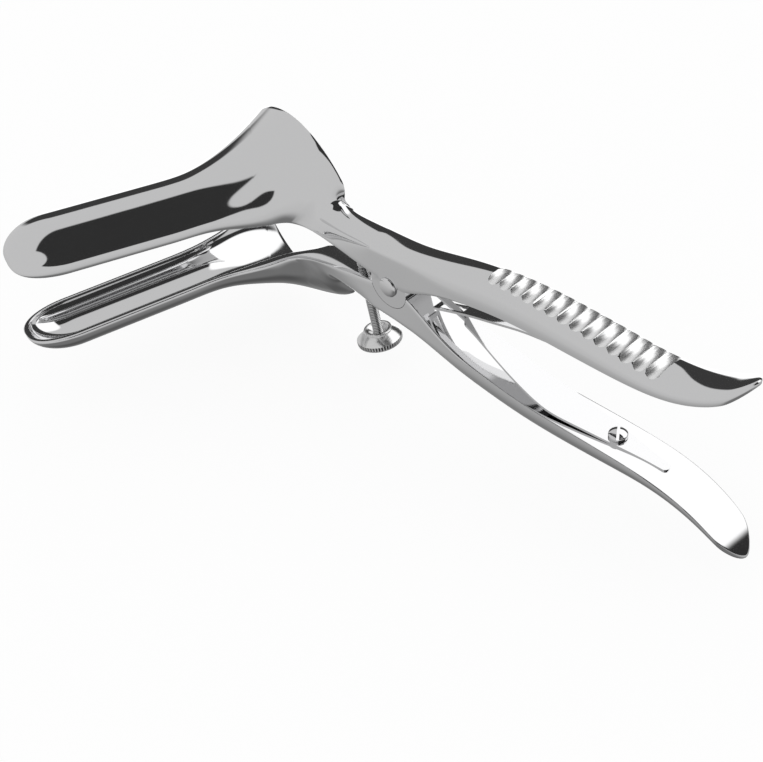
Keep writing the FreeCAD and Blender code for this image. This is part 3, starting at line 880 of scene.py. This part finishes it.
def steel(name, colour, roughness, waves=0.0, groove_shade_colour=None):
    """A bare steel; waves makes it slightly uneven, and the colour given for the grooves is painted shade,
    mixed in by each point's groove share.
    """
    material = bpy.data.materials.new(name)
    material.use_nodes = True
    nodes, links = material.node_tree.nodes, material.node_tree.links
    shader = nodes["Principled BSDF"]
    shader.inputs["Base Color"].default_value = (*colour, 1)
    shader.inputs["Metallic"].default_value = 1.0
    shader.inputs["Roughness"].default_value = roughness
    # Painted shade: the groove attribute mixes a dark colour into the grooves
    if groove_shade_colour:
        share = nodes.new("ShaderNodeAttribute")
        share.attribute_name = "groove"
        tint = nodes.new("ShaderNodeMix")
        tint.data_type = "RGBA"
        tint.inputs["A"].default_value = (*colour, 1)
        tint.inputs["B"].default_value = (*groove_shade_colour, 1)
        links.new(share.outputs["Fac"], tint.inputs["Factor"])
        links.new(tint.outputs["Result"], shader.inputs["Base Color"])
    if waves:
        coordinates = nodes.new("ShaderNodeTexCoord")
        noise = nodes.new("ShaderNodeTexNoise")
        noise.inputs["Scale"].default_value = WAVE_SIZE
        noise.inputs["Detail"].default_value = 2.0
        bump = nodes.new("ShaderNodeBump")
        bump.inputs["Strength"].default_value = waves
        bump.inputs["Distance"].default_value = MM
        links.new(coordinates.outputs["Object"], noise.inputs["Vector"])
        links.new(noise.outputs["Fac"], bump.inputs["Height"])
        links.new(bump.outputs["Normal"], shader.inputs["Normal"])
    return material


polished = steel("polished_steel", (0.75, 0.75, 0.755), 0.055, 0.03)
spring_steel = steel("spring_steel", (0.73, 0.73, 0.735), 0.07)
screw_steel = steel("screw_steel", (0.76, 0.76, 0.765), 0.08)
pivot_steel = steel("pivot_steel", (0.75, 0.75, 0.755), 0.08)
# The thumb screw's knurl and thread get painted shade in their grooves
satin = steel("thumb_screw_steel", (0.80, 0.80, 0.80), 0.2, groove_shade_colour=(0.06, 0.06, 0.06))
ground = steel("ground_steel", (0.97, 0.97, 0.97), 0.3)


def dress(piece, material, body, nodes, ground_faces=()):
    """Give a piece its material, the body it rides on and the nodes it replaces."""
    piece.data.materials.clear()
    piece.data.materials.append(material)
    if ground_faces:
        piece.data.materials.append(ground)
    for polygon in piece.data.polygons:
        polygon.material_index = 1 if polygon.index in ground_faces else 0
    if body:
        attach(piece, body)
    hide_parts(*nodes)


dress(upper_half, polished, "upper_half", ["upper_half"], groove_faces)
dress(lower_half, polished, "lower_half", ["lower_half"])
dress(upper_leaf, spring_steel, None, ["upper_leaf_spring"])
dress(lower_leaf, spring_steel, None, ["lower_leaf_spring"])
dress(upper_screw, screw_steel, "upper_half", ["upper_spring_screw"])
dress(lower_screw, screw_steel, "lower_half", ["lower_spring_screw"])
dress(pivot_piece, pivot_steel, "lower_half", ["pivot_screw"])
dress(knob_piece, satin, "thumb_screw_knob", ["thumb_screw_knob"])
dress(rod_piece, satin, "thumb_screw_knob", ["thumb_screw_rod"])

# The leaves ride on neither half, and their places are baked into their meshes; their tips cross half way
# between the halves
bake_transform(upper_leaf)
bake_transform(lower_leaf)

# Stage, light and camera

FLOOR_RADIUS = 550 * MM
FLOOR_BELOW = 8 * MM         # room for the thumb screw, which goes down when the blades close
FLOOR_GLOW = 0.9             # how much of the floor's own white hides its shadow from the camera
TENT = [                     # sine of the elevation, grey of the light tent there
    (-1.00, 0.10), (-0.87, 0.22), (-0.64, 0.48), (-0.40, 0.62), (0.00, 0.68), (1.00, 0.68),
]
CARDS = [                    # azimuth, elevation, half width, half height, squareness, edge, grey
    (25, 56, 50.5, 50.5, 2, 0.02, 0.035),  # the dark camera side of the tent and its roof
    (-85, 48, 30, 26, 2, 0.04, 0.68),      # the tent's near side, in front of the dark roof
    (80, 42, 37, 21, 4, 0.05, 1.35),       # a bright softbox at the back right
    (124, 12, 40, 15.5, 4, 0.06, 0.05),    # a black strip behind the object
    (130, -26, 25, 22, 4, 0.10, 1.40),     # the lit sheet behind and below
    (-50, -52, 35, 25, 2, 0.40, 0.20),     # the shaded near side under the object
]

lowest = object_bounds()[0][2]
bpy.ops.mesh.primitive_circle_add(vertices=128, radius=FLOOR_RADIUS, fill_type="NGON",
                                  location=(0, 0, lowest - FLOOR_BELOW))
floor = bpy.context.object
floor.name = "floor"
floor_material = bpy.data.materials.new("floor_white")
floor_material.use_nodes = True
floor_nodes, floor_links = floor_material.node_tree.nodes, floor_material.node_tree.links
floor_shader = floor_nodes["Principled BSDF"]
floor_shader.inputs["Base Color"].default_value = (0.9, 0.9, 0.9, 1)
floor_shader.inputs["Roughness"].default_value = 0.9
floor_white = floor_nodes.new("ShaderNodeEmission")
floor_white.inputs["Color"].default_value = (1, 1, 1, 1)
floor_rays = floor_nodes.new("ShaderNodeLightPath")
floor_share = floor_nodes.new("ShaderNodeMath")
floor_share.operation = "MULTIPLY"
floor_share.inputs[1].default_value = FLOOR_GLOW
floor_mix = floor_nodes.new("ShaderNodeMixShader")
floor_links.new(floor_rays.outputs["Is Camera Ray"], floor_share.inputs[0])
floor_links.new(floor_share.outputs["Value"], floor_mix.inputs["Fac"])
floor_links.new(floor_shader.outputs["BSDF"], floor_mix.inputs[1])
floor_links.new(floor_white.outputs["Emission"], floor_mix.inputs[2])
floor_links.new(floor_mix.outputs["Shader"], floor_nodes["Material Output"].inputs["Surface"])
floor.data.materials.append(floor_material)
floor.visible_glossy = False

world = bpy.context.scene.world or bpy.data.worlds.new("studio")
bpy.context.scene.world = world
world.use_nodes = True
world_nodes, world_links = world.node_tree.nodes, world.node_tree.links
background = world_nodes["Background"]
background.inputs["Strength"].default_value = 1.0
direction = world_nodes.new("ShaderNodeTexCoord").outputs["Generated"]


def leaning(axis):
    """How far the direction of view points along an axis."""
    node = world_nodes.new("ShaderNodeVectorMath")
    node.operation = "DOT_PRODUCT"
    world_links.new(direction, node.inputs[0])
    node.inputs[1].default_value = axis
    return node.outputs["Value"]


def calculate(operation, first, second=0.0):
    """One step of arithmetic in the world's nodes, on numbers or on other nodes' outputs."""
    node = world_nodes.new("ShaderNodeMath")
    node.operation = operation
    for socket, value in zip(node.inputs, (first, second)):
        if isinstance(value, (int, float)):
            socket.default_value = value
        else:
            world_links.new(value, socket)
    return node.outputs["Value"]


def add_card(behind, azimuth, elevation, half_width, half_height, squareness, edge, grey):
    """Lay a card of one grey over the studio behind it; angles in degrees."""
    turn, rise = math.radians(azimuth), math.radians(elevation)
    centre = Vector((math.cos(turn) * math.cos(rise), math.sin(turn) * math.cos(rise), math.sin(rise)))
    sideways = Vector((-math.sin(turn), math.cos(turn), 0))
    shares = []
    for axis, half in ((sideways, half_width), (centre.cross(sideways), half_height)):
        share = calculate("DIVIDE", calculate("ABSOLUTE", leaning(axis)), math.sin(math.radians(half)))
        shares.append(calculate("POWER", share, squareness))
    reach = calculate("POWER", calculate("ADD", *shares), 1 / squareness)
    inside = world_nodes.new("ShaderNodeMapRange")
    inside.interpolation_type = "SMOOTHSTEP"
    world_links.new(reach, inside.inputs["Value"])
    for name, value in (("From Min", 1 - edge), ("From Max", 1 + edge), ("To Min", 1), ("To Max", 0)):
        inside.inputs[name].default_value = value
    facing = calculate("GREATER_THAN", leaning(centre), 0.0)
    cover = world_nodes.new("ShaderNodeMix")
    cover.data_type = "FLOAT"
    world_links.new(calculate("MULTIPLY", inside.outputs["Result"], facing), cover.inputs["Factor"])
    world_links.new(behind, cover.inputs["A"])
    cover.inputs["B"].default_value = grey
    return cover.outputs["Result"]


tent = world_nodes.new("ShaderNodeValToRGB")
while len(tent.color_ramp.elements) < len(TENT):
    tent.color_ramp.elements.new(0.5)
for element, (at_height, grey) in zip(tent.color_ramp.elements, TENT):
    element.position = (at_height + 1) / 2
    element.color = (grey, grey, grey, 1)
height_share = calculate("MULTIPLY", calculate("ADD", leaning((0, 0, 1)), 1.0), 0.5)
world_links.new(height_share, tent.inputs["Fac"])
studio = tent.outputs["Color"]
for card in CARDS:
    studio = add_card(studio, *card)
rays = world_nodes.new("ShaderNodeLightPath")
tint = world_nodes.new("ShaderNodeMix")
tint.data_type = "RGBA"
tint.clamp_factor = True
world_links.new(rays.outputs["Is Glossy Ray"], tint.inputs["Factor"])
tint.inputs["A"].default_value = (1, 1, 1, 1)
world_links.new(studio, tint.inputs["B"])
world_links.new(tint.outputs["Result"], background.inputs["Color"])

SENSOR_WIDTH = 36.0
FOCAL_LENGTH = 1802.87       # in pixels of a picture of this width
PICTURE_WIDTH = 763
CAMERA_PLACE = (320.7, -288.7 + PIVOT_Y, 332.6)

camera_data = bpy.data.cameras.new("camera")
camera_data.sensor_fit = "HORIZONTAL"
camera_data.sensor_width = SENSOR_WIDTH
camera_data.lens = SENSOR_WIDTH * FOCAL_LENGTH / PICTURE_WIDTH
camera_data.clip_start = 10 * MM
camera = bpy.data.objects.new("camera", camera_data)
bpy.context.scene.collection.objects.link(camera)
right = Vector((0.7012, 0.7087, -0.0785))
up = Vector((-0.4243, 0.5032, 0.7528))
back = Vector((0.5730, -0.4946, 0.6535))
pose = Matrix((right, up, back)).transposed().to_4x4()
pose.translation = Vector(CAMERA_PLACE) * MM
camera.matrix_world = pose
bpy.context.scene.camera = camera
bpy.context.scene.view_settings.view_transform = "Standard"
